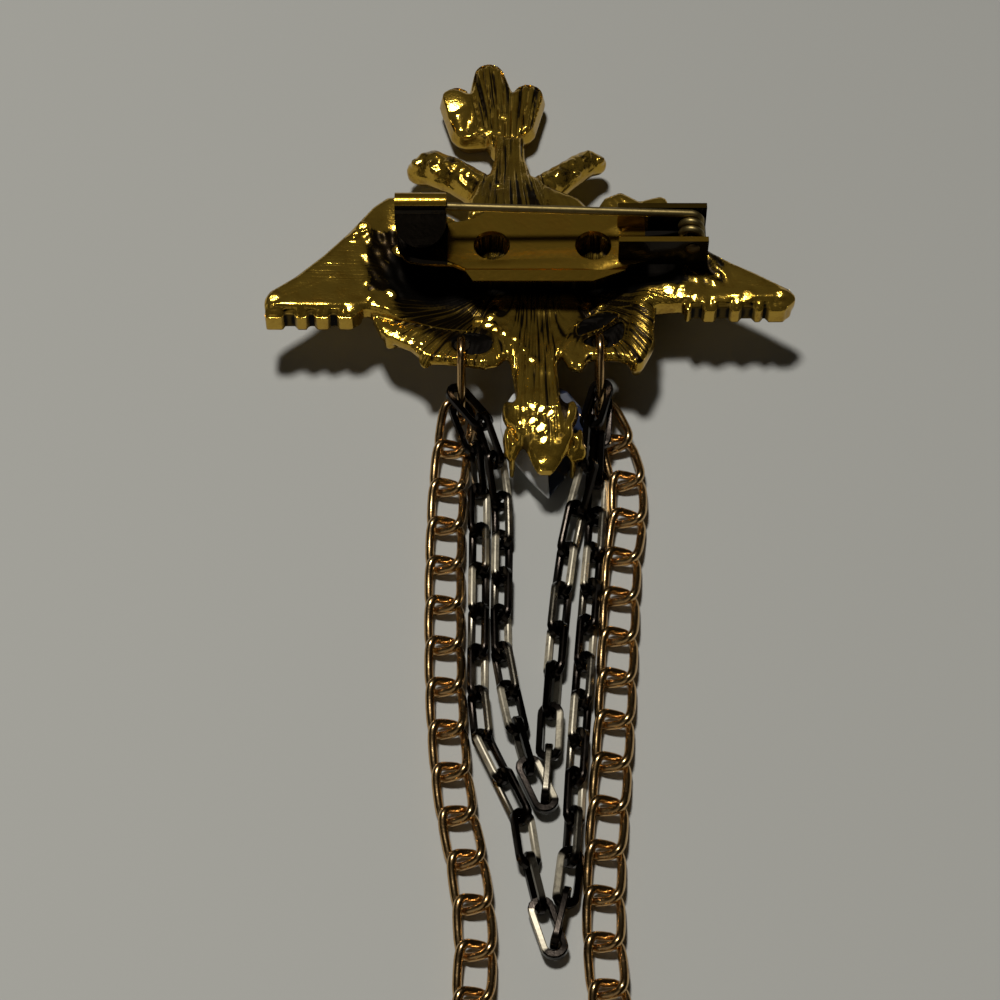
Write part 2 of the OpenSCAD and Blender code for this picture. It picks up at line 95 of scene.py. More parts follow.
def vertexVectors(mesh, kind):
    # one row a vertex: its place for the kind "co", its direction for "normal"
    flat = np.zeros(len(mesh.vertices) * 3, np.float32)
    mesh.vertices.foreach_get(kind, flat)
    return flat.reshape(-1, 3).astype(float)


def putCoordinates(mesh, points):
    mesh.vertices.foreach_set("co", points.astype(np.float32).ravel())
    mesh.update()


def putAttribute(mesh, name, values):
    layer = mesh.attributes.new(name, "FLOAT", "POINT")
    layer.data.foreach_set("value", values.astype(np.float32))


def rise(value, low, high):
    # smooth step, also downwards when high is under low
    t = np.clip((value - low) / (high - low), 0, 1)
    return t * t * (3 - 2 * t)


def between(value, low, high, soft):
    # 1 inside a range, falling to 0 over a soft edge on each side
    return rise(value, low - soft, low + soft) * rise(-value, -high - soft, -high + soft)


def ripple(x, y, size, seed):
    # wavy noise between about -1 and 1, from seven crossed waves
    rng = np.random.default_rng(seed)
    total = np.zeros_like(x)
    for k in range(7):
        angle = rng.uniform(0, 2 * math.pi)
        wave = size * rng.uniform(0.7, 1.6)
        phase = rng.uniform(0, 2 * math.pi)
        total += np.sin((x * math.cos(angle) + y * math.sin(angle)) * 2 * math.pi / wave + phase)
    return total / 3.2


view = {
    "eye": (-2.94, -139.5, 218.05),
    "target": (-2.94, 2.1, 0),
    "lens": 96.98,
    "clip": (0.01, 5),
}
light = {
    "keyFrom": (-0.14, 0.26, 1),
    "keyAway": 1.2,
    "keySize": 0.17,
    "keyPower": 9.2,
    "keyColour": (1, 0.975, 0.93),
    "fillPlace": (-0.28, -0.46, 0.36),
    "fillSize": 0.5,
    "fillPower": 0.17,
    "fillColour": (1, 0.95, 0.85),
    "worldColour": (0.0055, 0.0048, 0.0032),
}


def aimed(name, data, position, target):
    holder = addObject(name, data)
    holder.location = position
    holder.rotation_euler = (Vector(target) - Vector(position)).to_track_quat("-Z", "Y").to_euler()
    return holder


def makeCamera():
    data = bpy.data.cameras.new("viewCamera")
    data.lens = view["lens"]
    data.clip_start, data.clip_end = view["clip"]
    eye, target = toFrame @ Vector(view["eye"]), toFrame @ Vector(view["target"])
    bpy.context.scene.camera = aimed("viewCamera", data, eye, target)


def areaLight(name, position, size, power, colour):
    # a square panel that looks at the middle of the frame
    data = bpy.data.lights.new(name, "AREA")
    data.size = size
    data.energy = power
    data.color = colour
    aimed(name, data, position, (0, 0, 0))


def makeLights():
    keyPlace = Vector(light["keyFrom"]).normalized() * light["keyAway"]
    areaLight("keyLight", keyPlace, light["keySize"], light["keyPower"], light["keyColour"])
    areaLight("fillPanel", light["fillPlace"], light["fillSize"], light["fillPower"], light["fillColour"])
    world = bpy.data.worlds.new("studioRoom")
    world.use_nodes = True
    feed(world.node_tree.nodes["Background"].inputs["Color"], light["worldColour"])
    bpy.context.scene.world = world
    bpy.context.scene.view_settings.view_transform = "Standard"
    bpy.context.scene.view_settings.look = "None"


def feed(socket, value):
    # links a node's output to the socket, or sets a number or a colour on it
    if isinstance(value, bpy.types.NodeSocket):
        socket.id_data.links.new(value, socket)
    elif isinstance(value, tuple):
        socket.default_value = (*value, 1)
    else:
        socket.default_value = value


def feedAll(node, values):
    for label, value in values.items():
        feed(node.inputs[label], value)


def newNode(kind, *values):
    # a node in the tree that one of these sockets belongs to
    tree = next(value.id_data for value in values if isinstance(value, bpy.types.NodeSocket))
    return tree.nodes.new("ShaderNode" + kind)


def mathNode(operation, a, b, clamp=False):
    node = newNode("Math", a, b)
    node.operation = operation
    node.use_clamp = clamp
    feed(node.inputs[0], a)
    feed(node.inputs[1], b)
    return node.outputs[0]


def plus(a, b):
    return mathNode("ADD", a, b)


def times(a, b):
    return mathNode("MULTIPLY", a, b)


def attributeValue(tree, name):
    node = tree.nodes.new("ShaderNodeAttribute")
    node.attribute_type = "GEOMETRY"
    node.attribute_name = name
    return node.outputs["Fac"]


def mixValue(factor, first, second, kind="FLOAT"):
    # first where the factor is 0, second where it is 1
    node = newNode("Mix", factor, first, second)
    node.data_type = kind
    feedAll(node, {"Factor": factor, "A": first, "B": second})
    return node.outputs["Result"]


def mixColour(factor, first, second):
    return mixValue(factor, first, second, "RGBA")


def noiseValue(vector, scale, detail, roughness=0.55):
    node = newNode("TexNoise", vector)
    feedAll(node, {"Scale": scale, "Detail": detail, "Roughness": roughness, "Vector": vector})
    return node.outputs["Fac"]


def ramp(value, low, high):
    node = newNode("MapRange", value)
    node.interpolation_type = "SMOOTHSTEP"
    feedAll(node, {"Value": value, "From Min": low, "From Max": high})
    return node.outputs["Result"]


def makeTarnishGroup():
    # blotches and grain of an old surface: a mask of clean metal and a height
    group = bpy.data.node_groups.new("tarnish", "ShaderNodeTree")
    group.interface.new_socket("Vector", in_out="INPUT", socket_type="NodeSocketVector")
    for label in ("Blotch", "Grain", "Clean"):
        group.interface.new_socket(label, in_out="INPUT", socket_type="NodeSocketFloat")
    for label in ("Mask", "Height"):
        group.interface.new_socket(label, in_out="OUTPUT", socket_type="NodeSocketFloat")
    start = group.nodes.new("NodeGroupInput")
    end = group.nodes.new("NodeGroupOutput")
    vector = start.outputs["Vector"]
    big = noiseValue(vector, start.outputs["Blotch"], 5, 0.65)
    small = noiseValue(vector, start.outputs["Grain"], 2, 0.5)
    mixed = plus(times(big, 0.7), times(small, 0.3))
    shifted = plus(mixed, mathNode("SUBTRACT", start.outputs["Clean"], 0.5))
    feedAll(end, {"Mask": ramp(shifted, 0.36, 0.62), "Height": mixed})
    return group


tarnishGroup = makeTarnishGroup()


def startMaterial(name):
    # the material, its tree and shader, and the object coordinates in millimetres
    material = bpy.data.materials.new(name)
    material.use_nodes = True
    tree = material.node_tree
    coordinate = tree.nodes.new("ShaderNodeTexCoord")
    mapping = tree.nodes.new("ShaderNodeMapping")
    mapping.inputs["Scale"].default_value = (1000, 1000, 1000)
    feed(mapping.inputs["Vector"], coordinate.outputs["Object"])
    return material, tree, tree.nodes["Principled BSDF"], mapping.outputs["Vector"]


def tarnish(vector, look):
    node = newNode("Group", vector)
    node.node_tree = tarnishGroup
    feed(node.inputs["Vector"], vector)
    for label in ("Blotch", "Grain", "Clean"):
        node.inputs[label].default_value = look[label.lower()]
    return node.outputs["Mask"], node.outputs["Height"]


def bump(height, strength, distance):
    node = newNode("Bump", height)
    feedAll(node, {"Strength": strength, "Distance": distance, "Height": height})
    return node.outputs["Normal"]


giltLook = {
    "gold": (0.60, 0.38, 0.055),
    "dull": (0.38, 0.215, 0.025),
    "patina": (0.022, 0.014, 0.006),
    # colour of black patina and painted shade
    "black": (0.004, 0.003, 0.002),
    "metallic": 0.86, "specular": 0.2,
    "blotch": 0.6, "grain": 5, "clean": 0.55,
    "rough": (0.32, 0.105), "blackRough": 0.62, "dullPolish": 0.7,
    "strandWidth": 3.5, "strandRun": 0.11,
    "lineFrom": 0.34, "lineByPatinaAndShade": 0.18, "lineFade": 0.72,
    "spotFrom": 0.24, "spotByPatinaAndShade": 0.34, "softEdge": 0.1,
    "combTop": 0.6, "combPower": 3, "combHeight": 0.7, "grainHeight": 0.4,
    "bump": (1, 0.00012),
}


def makeAntiqueGilt():
    # combed lines where the strand attribute is set, spots elsewhere, both thinned where the back is
    # darkened: dark patina in places, painted shade in others
    look = giltLook
    material, tree, shader, vector = startMaterial("antiqueGilt")
    mask, height = tarnish(vector, look)
    strand, patinaAndShade, black = (attributeValue(tree, name) for name in ("strand", "patinaAndShade", "black"))
    laidOut = tree.nodes.new("ShaderNodeCombineXYZ")
    feedAll(laidOut, {"X": times(attributeValue(tree, "across"), look["strandWidth"]),
                            "Y": times(attributeValue(tree, "along"), look["strandRun"])})
    hair = noiseValue(laidOut.outputs[0], 1, 1.5, 0.5)
    low = plus(look["lineFrom"], times(patinaAndShade, look["lineByPatinaAndShade"]))
    ridge = ramp(hair, low, plus(low, look["softEdge"]))
    lines = times(ridge, mathNode("SUBTRACT", 1, times(patinaAndShade, look["lineFade"])))
    low = plus(look["spotFrom"], times(patinaAndShade, look["spotByPatinaAndShade"]))
    spots = ramp(height, low, plus(low, look["softEdge"]))
    metal = times(mixValue(strand, spots, lines), mathNode("SUBTRACT", 1, black))
    gold = mixColour(mask, look["dull"], look["gold"])
    ground = mixColour(black, look["patina"], look["black"])
    polish = times(metal, mixValue(mask, look["dullPolish"], 1))
    combed = times(ramp(hair, look["lineFrom"], look["combTop"]),
                   mathNode("POWER", strand, look["combPower"]))
    total = plus(times(combed, look["combHeight"]), times(height, look["grainHeight"]))
    feedAll(shader, {
        "Base Color": mixColour(metal, ground, gold),
        "Roughness": mixValue(black, mixValue(polish, *look["rough"]), look["blackRough"]),
        "Metallic": look["metallic"],
        "Specular IOR Level": look["specular"],
        "Normal": bump(total, *look["bump"]),
    })
    return material


# a pair is for tarnished and clean places, or for black places and a painted highlight
metals = {
    "barBrass": {
        # its third colour is painted shade and dark reflection on the bar
        "colour": ((0.34, 0.19, 0.02), (0.56, 0.34, 0.04)), "patinaAndShade": (0.014, 0.010, 0.006),
        "blotch": 0.3, "grain": 2.2, "clean": 0.5,
        "rough": (0.2, 0.13), "metallic": 0.86, "bump": (0.6, 0.00006),
    },
    # nearly black: painted shade on the rivet, which sits in the ear's shade
    "darkBrass": {"colour": ((0.02, 0.014, 0.008), (0.07, 0.045, 0.018)), "rough": (0.56, 0.4)},
    "stemMetal": {"colour": ((0.12, 0.085, 0.03), (0.26, 0.195, 0.075)), "rough": (0.58, 0.42)},
    "roseGilt": {"colour": ((0.25, 0.125, 0.045), (0.62, 0.40, 0.175)), "rough": (0.36, 0.2)},
    "blackPlate": {
        # the pale colour is a painted highlight
        "colour": ((0.022, 0.018, 0.015), (0.56, 0.50, 0.37)), "paintedSheen": 0.55,
        "blotch": 0.7, "grain": 4, "clean": 0.55,
        "rough": (0.22, 0.42), "metallic": (1, 0.35), "bump": (0.5, 0.00004),
    },
}
plainLook = {"blotch": 0.8, "grain": 5, "clean": 0.6, "metallic": 1, "bump": (0.5, 0.00005)}


def makeMetal(name):
    look = {**plainLook, **metals[name]}
    material, tree, shader, vector = startMaterial(name)
    mask, height = tarnish(vector, look)
    # painted highlight where the mesh asks for it
    if "paintedSheen" in look:
        mask = times(attributeValue(tree, "paintedSheen"), mixValue(mask, look["paintedSheen"], 1))
    colour = mixColour(mask, *look["colour"])
    # painted shade and dark reflection mixed in where the mesh asks for it
    if "patinaAndShade" in look:
        colour = mixColour(attributeValue(tree, "patinaAndShade"), colour, look["patinaAndShade"])
    metallic = look["metallic"]
    if isinstance(metallic, tuple):
        metallic = mixValue(mask, *metallic)
    feedAll(shader, {
        "Base Color": colour,
        "Roughness": mixValue(mask, *look["rough"]),
        "Metallic": metallic,
        "Normal": bump(height, *look["bump"]),
    })
    return material


stoneLook = {
    "cloud": 0.5,
    "deep": ((0.03, 0.04, 0.085), (0.06, 0.08, 0.15)),
    "silverReflection": ((0.66, 0.67, 0.66), (0.82, 0.83, 0.82)),
    "rough": (0.05, 0.5), "metallic": (0.3, 0), "coatRough": 0.02, "coatIndex": 1.55,
}


def makeStone():
    # foil colour behind the facets with a painted reflection: pale on one side, deep blue on the other
    material, tree, shader, vector = startMaterial("foiledStone")
    cloud = noiseValue(vector, stoneLook["cloud"], 2)
    paleReflection = attributeValue(tree, "paleReflection")
    deep = mixColour(cloud, *stoneLook["deep"])
    silverReflection = mixColour(cloud, *stoneLook["silverReflection"])
    feedAll(shader, {
        "Base Color": mixColour(paleReflection, deep, silverReflection),
        "Roughness": mixValue(paleReflection, *stoneLook["rough"]),
        "Metallic": mixValue(paleReflection, *stoneLook["metallic"]),
        "Coat Weight": 1,
        "Coat Roughness": stoneLook["coatRough"],
        "Coat IOR": stoneLook["coatIndex"],
    })
    return material


tableLook = {
    "near": (0.60, 0.605, 0.572), "far": (0.44, 0.443, 0.42),
    "slopeX": 0.0033, "slopeY": 0.0030, "middle": 0.45,
    "cloud": 0.01, "cloudShare": 0.1, "rough": 0.85, "specular": 0.2, "halfSize": 1.2,
}


def makeTableMaterial():
    # a pale cloth, painted darker towards the upper right as the lamp's falloff
    material, tree, shader, vector = startMaterial("paleTable")
    cloud = times(noiseValue(vector, tableLook["cloud"], 2), tableLook["cloudShare"])
    axes = tree.nodes.new("ShaderNodeSeparateXYZ")
    feed(axes.inputs[0], vector)
    slope = plus(times(axes.outputs["X"], tableLook["slopeX"]),
                 times(axes.outputs["Y"], tableLook["slopeY"]))
    share = mathNode("ADD", plus(slope, tableLook["middle"]), cloud, clamp=True)
    feedAll(shader, {
        "Base Color": mixColour(share, tableLook["near"], tableLook["far"]),
        "Roughness": tableLook["rough"],
        "Specular IOR Level": tableLook["specular"],
    })
    return material


def makeTable(material):
    bm = bmesh.new()
    bmesh.ops.create_grid(bm, x_segments=4, y_segments=4, size=tableLook["halfSize"])
    mesh = meshFrom(bm)
    mesh.materials.append(material)
    addObject("tableTop", mesh)


# recess darkening strengths: dark patina and painted shade where a point lies under its surroundings
casting = {"voxel": 0.19, "soften": 2, "sharpAngle": 75, "recessPatinaAndShade": 0.75, "recessBlackAndShade": 0.5}
# small domes and lobes fused with the casting: place, three radii, turn about the upright
castingBeads = [
    (-4.9, 45.4, 3.6, 0.5, 0.45, 0.4), (-4, 45.1, 3.7, 0.45, 0.45, 0.4),
    (-3.05, 44.9, 3.75, 0.4, 0.4, 0.35), (-11.4, 40.7, 4.2, 0.75, 0.7, 0.7),
    (-9.7, 39.9, 4.75, 0.75, 0.6, 0.7), (-8.5, 39.9, 4.9, 0.55, 0.6, 0.65),
    (-7.6, 39.5, 5, 0.6, 0.6, 0.65), (-6.8, 38.9, 5.1, 0.5, 0.6, 0.6),
    (-6.3, 38.2, 5.2, 0.4, 0.6, 0.5), (7.4, 41.4, 3.9, 0.55, 0.5, 0.5),
    (6.1, 41.9, 4.2, 0.5, 0.5, 0.5), (4.5, 40.3, 4.8, 0.55, 0.45, 0.5),
    (4.9, 38.9, 4.8, 0.5, 0.4, 0.45), (3.4, 39.5, 5, 0.4, 0.5, 0.4),
    (-10.2, 14.6, 6, 0.65, 1.2, 0.75), (-25.2, 20.3, 7.1, 0.9, 0.8, 0.5),
    (-16.6, 29.2, 7.7, 0.8, 0.7, 0.35), (-17.5, 28.3, 7.7, 0.5, 0.5, 0.3),
    (-12.9, 23.6, 7.3, 0.7, 0.6, 0.5), (-15.6, 20.8, 7.3, 0.5, 0.9, 0.5),
    (21.3, 21, 7.6, 0.9, 0.6, 0.4), (24.4, 21.2, 7.2, 0.6, 0.6, 0.4),
    (14.9, 21.9, 7.3, 0.8, 0.6, 0.5, 30), (13.4, 22.3, 7.3, 0.7, 0.6, 0.5),
    (16.1, 21.4, 7.2, 0.6, 0.5, 0.4), (11.6, 21.8, 7.2, 0.6, 0.5, 0.4),
    (-2.05, 7.9, 5.85, 0.75, 1.6, 0.7, 8), (3.85, 7.9, 5.85, 0.75, 1.6, 0.7, -6),
    (-2.2, 5.5, 4.9, 0.5, 1.5, 0.75, 4), (-1.9, 4.7, 4.4, 0.75, 0.95, 0.7),
    (4.6, 5.4, 4.9, 0.5, 1.4, 0.75, -8), (4.75, 4.7, 4.4, 0.65, 1.05, 0.7),
    (1.5, 3.5, 4.5, 0.6, 0.9, 0.6), (0.1, 4.6, 4.9, 0.6, 0.8, 0.5, 30),
]
# feather ends: low and high x of the row, its lower edge, and the dark gaps between the ends
featherRows = [
    (-25.9, -17.3, 18.5, ((-24.15, -22.9), (-21.8, -21), (-19.65, -18.8))),
    (15.2, 25, 19.4, ((15.75, 16.95), (18.2, 19.6), (20.6, 21.95), (22.75, 23.3))),
]
# lips that narrow the two openings: centre, half sizes, link's place, height
lips = [((-5.7, 16.25), (2.35, 1.9), (-6.65, 16.1), 5.85), ((6.9, 18.1), (2.65, 2.95), (6.8, 16.7), 5.3)]
lip = {"hole": 0.85, "thick": 0.45, "sides": 28}
ends = {"deep": 1.5, "middleZ": 6.35, "high": 2.3, "soft": 0.16, "cut": 0.45, "black": 0.85}
# painted shade in hollows over the tip and beside the claws: place and radius
tailHollows = [
    (-0.6, 4.2, 0.6), (-0.35, 4.8, 0.55), (0.1, 5.1, 0.4), (0.6, 4.95, 0.25), (1.1, 4.7, 0.25),
    (2.6, 4.6, 0.3), (2.9, 5.2, 0.3),
]
# polished facets, each turned the same way: place and radius
facets = [
    (-8, 49.7, 1.45), (-4.9, 45.9, 0.45), (-4, 45.5, 0.45), (-3.05, 45.2, 0.35), (-2.6, 47.6, 0.42),
    (-11.5, 40.5, 0.33), (-9.6, 39.4, 0.55), (-8.4, 39.6, 0.35), (-7.5, 39.2, 0.55), (-6.8, 38.7, 0.45),
    (-6.3, 38, 0.35), (6.1, 41.5, 0.28), (4.5, 39.8, 0.28), (7.4, 40.8, 0.32), (-3.1, 35.9, 0.35),
    (-25.1, 20.5, 0.6), (-16.6, 29.4, 0.55), (-17.3, 28.5, 0.35), (-13, 27.3, 0.55), (-13.7, 21.6, 0.5),
    (-15.3, 20.1, 0.35), (21.3, 20.9, 0.6), (24.5, 21, 0.5), (13.8, 21.9, 0.6), (14.8, 21.3, 0.6),
    (12.3, 21.3, 0.35), (16.3, 21, 0.3), (18.4, 23.5, 0.25), (-10.6, 15.9, 0.35), (-14, 17.2, 0.4),
    (-13.5, 16.9, 0.4), (-12.9, 16.6, 0.4), (-12.3, 16.3, 0.4), (-11.7, 16, 0.4), (-4.9, 19.9, 0.5),
    (-4.1, 19, 0.5), (-3.3, 18.2, 0.5), (-2.6, 17.3, 0.45), (-3.9, 20.3, 0.45), (-1.5, 16.2, 0.4),
    (-0.6, 15.1, 0.35), (0.1, 14, 0.45), (3, 9.8, 0.3), (0.1, 8.1, 0.4), (1, 7.6, 0.42),
    (1.85, 7.3, 0.38), (0.2, 6.5, 0.42), (1, 5.9, 0.5), (-1, 6.3, 0.3), (1.2, 4.7, 0.45),
    (5.6, 21.9, 0.4), (7, 21.6, 0.3),
]
facet = {"leanX": 0.074, "leanY": 0.164, "roundness": 22, "lift": 0.04, "inner": 0.85, "outer": 1.35}
# each wing's side, places along its span, and its lower and upper edge there
wingEdges = {
    -1: ([15.6, 17.9, 20.3, 23, 25.5, 26],
         [19.6, 19.5, 19.4, 19.3, 19.4, 19.8], [32.4, 29.1, 26.2, 23.4, 21.5, 20.7]),
    1: ([14.4, 17.6, 20, 22.2, 25.4, 26],
        [20.4, 20.5, 20.5, 20.4, 20.3, 20.4], [30, 26.9, 25.2, 23.9, 21.8, 21.2]),
}
dish = {"share": 0.07, "deepest": 0.6}


def wingDish(x, y):
    # how far each wing's back is hollowed
    result = np.zeros_like(x)
    for side, (span, low, top) in wingEdges.items():
        reach = side * x
        lower, upper = np.interp(reach, span, low), np.interp(reach, span, top)
        share = np.clip((y - lower) / np.maximum(upper - lower, 0.1), 0, 1)
        depth = np.minimum((upper - lower) * dish["share"], dish["deepest"]) * (1 - np.abs(2 * share - 1))
        result += depth * rise(reach, span[0] - 1, span[0] + 0.5)
    return result


def pressFacets(points, up):
    # turns small round patches of the back to one slope, and tells where they are
    x, y, z = points.T
    polished = np.zeros_like(x)
    for cx, cy, radius in facets:
        near = (np.abs(x - cx) < radius * 1.5) & (np.abs(y - cy) < radius * 1.5) & (up > 0.3)
        near = np.nonzero(near)[0]
        across, along = x[near] - cx, y[near] - cy
        r = np.hypot(across, along) / radius
        weight = rise(-r, -facet["outer"], -facet["inner"]) * up[near]
        height = np.average(z[near], weights=weight + 1e-6) + facet["lift"]
        plane = height + facet["leanX"] * across + facet["leanY"] * along
        plane -= (r * radius) ** 2 / facet["roundness"]
        points[near, 2] += weight * (plane - z[near])
        polished[near] = np.maximum(polished[near], weight)
    return polished


def addLip(bm, centre, half, hole, z):
    # a thin plate with an offset round hole, from four bridged rings
    holeHalf = (lip["hole"], lip["hole"])
    rings = []
    for low, middle, radii in ((0, centre, half), (0, hole, holeHalf),
                               (lip["thick"], hole, holeHalf), (lip["thick"], centre, half)):
        matrix = Matrix.Translation((*middle, z + low)) @ Matrix.Diagonal((*radii, 1, 1))
        made = bmesh.ops.create_circle(bm, segments=lip["sides"], radius=1, matrix=matrix)
        rings.append({edge for vert in made["verts"] for edge in vert.link_edges})
    for first, second in zip(rings, rings[1:] + rings[:1]):
        bmesh.ops.bridge_loops(bm, edges=list(first | second))


def castingForms(bm):
    for x, y, z, rx, ry, rz, *turn in castingBeads:
        matrix = Matrix.Translation((x, y, z)) @ Matrix.Rotation(math.radians(sum(turn)), 4, "Z")
        matrix = matrix @ Matrix.Diagonal((rx, ry, rz, 1))
        bmesh.ops.create_icosphere(bm, subdivisions=2, radius=1, matrix=matrix)
    for low, high, edge, gaps in featherRows:
        middle = ((low + high) / 2, edge + ends["deep"] / 2, ends["middleZ"])
        bmesh.ops.create_cube(bm, size=1, matrix=Matrix.Translation(middle)
                              @ Matrix.Diagonal((high - low, ends["deep"], ends["high"], 1)))
    for row in lips:
        addLip(bm, *row)


def remeshed(bm):
    # one even skin over all the forms, smoothed a little
    rough = addObject("rough", meshFrom(bm))
    voxels = rough.modifiers.new("voxels", "REMESH")
    voxels.mode = "VOXEL"
    voxels.voxel_size = casting["voxel"]
    skin = bmesh.new()
    skin.from_mesh(evaluated(rough))
    for _ in range(casting["soften"]):
        bmesh.ops.smooth_vert(skin, verts=skin.verts, factor=0.5,
                              use_axis_x=True, use_axis_y=True, use_axis_z=True)
    return meshFrom(skin)


# outline of the hollow in the back
hollowEdge = [
    (-14.6, 20.6), (-15.4, 24), (-14.4, 28.6), (-11.5, 30.4), (-7.5, 31), (-5, 33.5), (0, 34.5), (4, 33.5),
    (7, 31.5), (11, 30.5), (14, 27.5), (15.6, 24.6), (14.2, 22.8), (12, 21.8), (10.6, 18), (9.4, 15),
    (5.5, 15), (3.6, 14.8), (2.4, 12), (-1.3, 12), (-2.4, 15.6), (-4.4, 14.2), (-7.5, 14.8), (-9.6, 15.4),
    (-11.6, 17), (-13.6, 18.2),
]
# the raised pad under the bar: low and high x, low and high y
barPad = (-6.65, 8.45, 24.35, 29.85)


def insideDistance(x, y, corners):
    # distance to the edge of an outline, positive inside it
    best = np.full_like(x, 1e9)
    inside = np.zeros(len(x), bool)
    for (ax, ay), (bx, by) in zip(corners, corners[1:] + corners[:1]):
        ex, ey = bx - ax, by - ay
        t = np.clip(((x - ax) * ex + (y - ay) * ey) / (ex * ex + ey * ey), 0, 1)
        best = np.minimum(best, np.hypot(x - ax - t * ex, y - ay - t * ey))
        crosses = (ay > y) != (by > y)
        inside ^= crosses & (x < (bx - ax) * (y - ay) / (by - ay + 1e-12) + ax)
    return np.where(inside, best, -best)


def wallDistance(points, normals):
    # distance across the back from each point to the nearest upright wall
    walls = np.nonzero(np.abs(normals[:, 2]) < 0.3)[0]
    tree = KDTree(len(walls))
    for i in walls:
        tree.insert((points[i, 0], points[i, 1], 0), int(i))
    tree.balance()
    result = np.zeros(len(points))
    for i in np.nonzero(normals[:, 2] > 0.15)[0]:
        result[i] = tree.find((points[i, 0], points[i, 1], 0))[2]
    return result


# grooves: the middle of the fan and of the stem, and where the stem begins
fanX, stemX, stemY = 0.6, -1.6, 29.5
strands = {"crownPeriod": 0.55, "fanPeriod": 0.62, "beside": 0.25, "wing": 0.12, "leftBand": 0.32}


def strandField(x, y):
    # place across and along the fine grooves, their strength, the depth they are cut to, and their period
    side = np.abs(x - fanX)
    spread = np.sqrt(1 + ((y - 42) * 0.13) ** 2)
    sheafAcross = (x + 2.1) / spread
    turn = rise(side, 1.8, 6)
    apexX = fanX + np.sign(x - fanX) * 4.0 * turn
    apexY = 41 - 17 * turn
    reach = 23 - 14.5 * turn
    fanAcross = np.arctan2(x - apexX, np.maximum(apexY - y, 0.3)) * reach
    crownOrStem = (y > stemY) & (side < 9)
    middle = (y <= stemY) & (side < 15)
    across = np.where(crownOrStem, sheafAcross, np.where(middle, fanAcross, y))
    along = np.where(crownOrStem, y, np.where(middle, np.hypot(x - apexX, apexY - y), x))
    lobe = rise(-x, 5.4, 6.2) * rise(y, 44.5, 45.5)
    strong = np.where(crownOrStem, 1 - lobe, 0)
    beside = crownOrStem & (y < 44) & (np.abs(x - stemX) > 3.2)
    strong = np.where(beside, strands["beside"], strong)
    inFan = rise(-side, -15, -13)
    strong = np.where(middle, rise(y, 2, 6) * inFan, strong)
    leftBand = between(y, 22.6, 28.2, 0.4) * rise(-x, 15.5, 16.5)
    strong = np.where(crownOrStem | middle, strong, strands["wing"] + strands["leftBand"] * leftBand)
    stemCut = (0.12 + 0.12 * rise(y, 43, 46)) * strong
    fanCut = (0.05 * rise(y, 2, 5) + 0.08 * rise(y, 6, 11)) * inFan
    cut = np.where(crownOrStem, stemCut, np.where(middle, fanCut, 0))
    period = np.where(crownOrStem, strands["crownPeriod"], strands["fanPeriod"])
    return across, along, strong, cut, period


relief = {
    "floor": 4.7, "slope": 2.1, "upperFloor": 5.4, "rimWidth": 1.1, "rimSoft": 0.28, "crownSoft": 0.35,
    "lumps": (0.2, 1.7, 3), "tailGrain": (0.018, 0.9, 11), "allGrain": (0.016, 2.6, 5),
    "tailRidge": 0.75, "holeDeep": 2, "holeY": 26.2, "holes": (-3.75, 6.25),
}
# zones of the back: low and high x, low and high y, soft edge across and along, strength
lumpZones = [(-16.2, -12.4, 21.5, 29.5, 0.7, 0.7, 1), (14.5, 19.3, 22.4, 28, 0.7, 0.7, 0.8)]
# zones where the back is darker in colour, same columns
darkerZones = [(8.4, 13, 13, 20.5, 0.6, 0.8, 0.45), (-7, 8, 28, 33, 1, 1, 0.5)]
# painted shade below the lower ear and on the casting seen between the ears
blackZones = [(8.4, 15.4, 22.2, 26, 0.5, 0.5, 1), (11, 15.8, 26, 30.6, 0.4, 0.4, 1)]
# painted shadow under the bar's low edge
blackUnderBar = (-6.4, 8.6, 23, 24.4, 0.4, 0.5, 1)


def zone(x, y, row):
    left, right, low, high, softX, softY, strength = row
    return strength * between(x, left, right, softX) * between(y, low, high, softY)


def grain(x, y, setting):
    height, size, seed = setting
    return height * ripple(x, y, size, seed)


